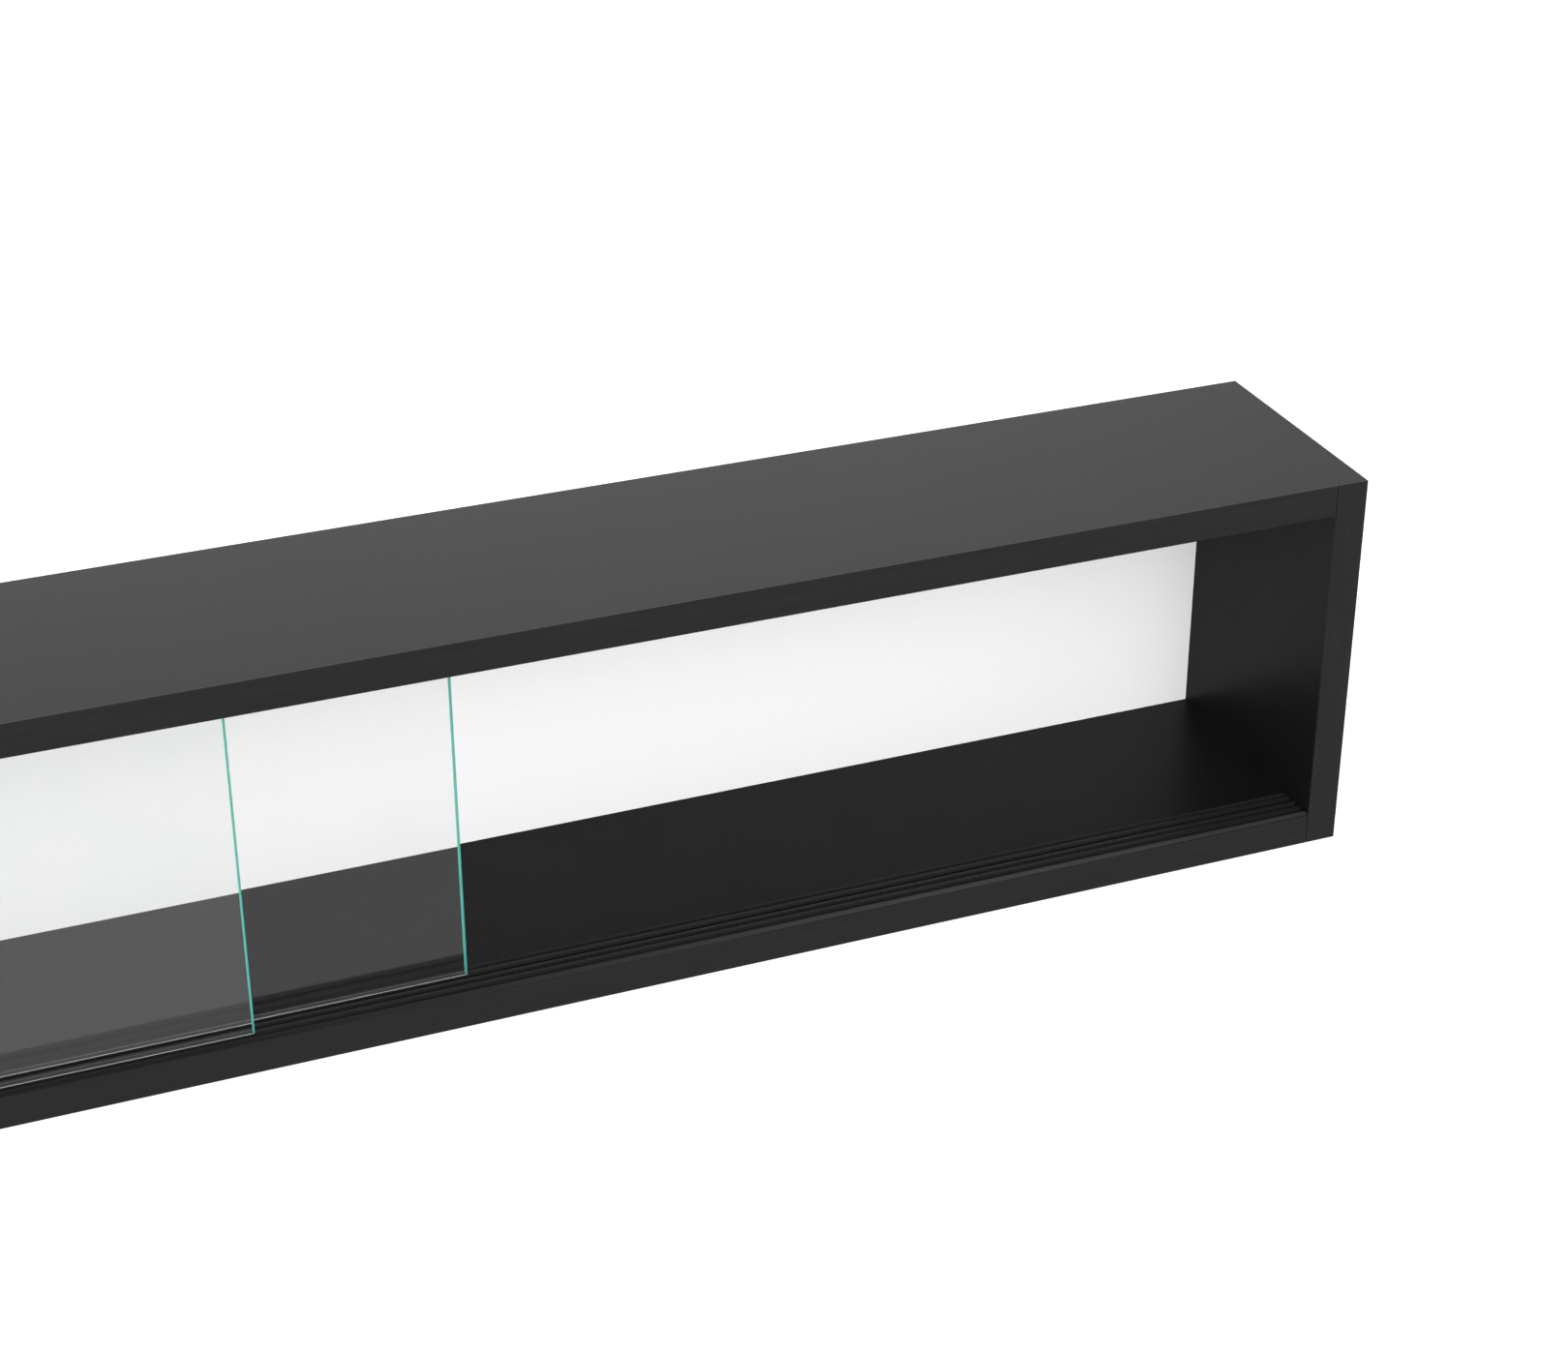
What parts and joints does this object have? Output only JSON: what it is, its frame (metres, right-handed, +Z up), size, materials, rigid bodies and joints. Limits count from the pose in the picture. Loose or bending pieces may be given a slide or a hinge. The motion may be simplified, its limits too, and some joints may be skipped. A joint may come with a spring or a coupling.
{
  "type": "sliding glass door display case",
  "caption": "Long shallow display case of black board with a white back and two frameless glass doors that slide in a double track.",
  "frame": {"origin": "centre of the underside of the case", "axes": "+X along the case to the right, +Y from the doors to the wall, +Z up"},
  "size_m": [1.28, 0.15, 0.223],
  "materials": {
    "black_melamine": "fine-textured black melamine, satin",
    "black_edge_band": "satin black ABS edge band",
    "white_hardboard": "hardboard, white lacquer inside, raw brown outside",
    "track_plastic": "satin black extruded plastic",
    "clear_glass": "clear float glass with ground green edges",
    "zinc_alloy": "bare die-cast zinc",
    "zinc_plated_steel": "bright zinc plating",
    "black_steel": "black powder coat",
    "beech": "planed beech, fluted",
    "black_cap_plastic": "moulded black polyethylene",
    "black_rubber": "self-adhesive rubber pad"
  },
  "bodies": {
    "cabinet": {"left_side_panel": "black_melamine", "right_side_panel": "black_melamine", "top_panel": "black_melamine", "bottom_panel": "black_melamine", "back_panel": "white_hardboard", "left_side_edge_band": "black_edge_band", "right_side_edge_band": "black_edge_band", "top_edge_band": "black_edge_band", "bottom_edge_band": "black_edge_band", "lower_door_track": "track_plastic", "upper_door_track": "track_plastic", "upper_track_screws": "zinc_plated_steel", "door_end_stops": "black_rubber", "cam_locks": "zinc_alloy", "cam_caps": "black_cap_plastic", "cam_bolts": "zinc_plated_steel", "dowels": "beech", "back_panel_screws": "zinc_plated_steel", "left_wall_bracket": "black_steel", "right_wall_bracket": "black_steel", "wall_bracket_screws": "zinc_plated_steel"},
    "front_door": {"front_glass_door": "clear_glass"},
    "rear_door": {"rear_glass_door": "clear_glass"}
  },
  "joints": [
    {"name": "front_door_slide", "type": "slide", "parent": "cabinet", "child": "front_door", "axis": [1, 0, 0], "range_m": [0, 0.6005]},
    {"name": "rear_door_slide", "type": "slide", "parent": "cabinet", "child": "rear_door", "axis": [1, 0, 0], "range_m": [-0.115, 0.4855]}
  ]
}
